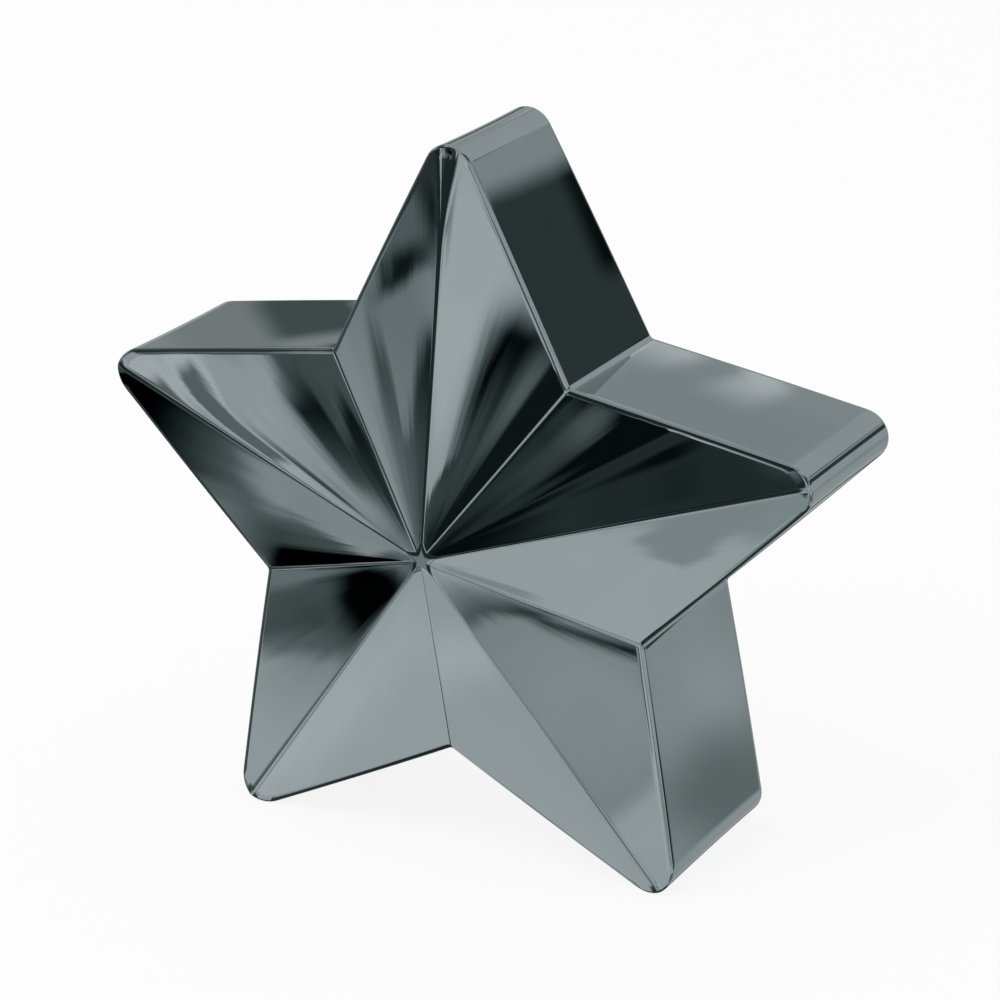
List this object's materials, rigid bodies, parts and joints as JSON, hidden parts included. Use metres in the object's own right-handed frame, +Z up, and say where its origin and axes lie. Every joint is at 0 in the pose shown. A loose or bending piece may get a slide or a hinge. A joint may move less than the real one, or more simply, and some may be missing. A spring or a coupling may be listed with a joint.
{
  "type": "balloon weight",
  "caption": "Standing star-shaped balloon weight: faceted plated shell over a cast ballast, closed at the back by a flat cover with a recessed bar for the ribbon.",
  "frame": {"origin": "centre of the part's box on the surface that it stands on, below its two lower points", "axes": "+Z up; the faceted front faces -Y; +X is to the right when the front is looked at"},
  "size_m": [0.0936, 0.0333, 0.0893],
  "materials": {
    "plating": "smoked black-chrome electroplating on moulded plastic, mirror gloss",
    "cover": "black moulded plastic, fine satin texture",
    "cup": "black moulded plastic, as moulded",
    "cement": "cast cement, fine pores"
  },
  "bodies": {
    "root": {"front_shell": "plating", "back_cover": "cover", "tie_cup": "cup", "ballast": "cement"}
  },
  "joints": []
}
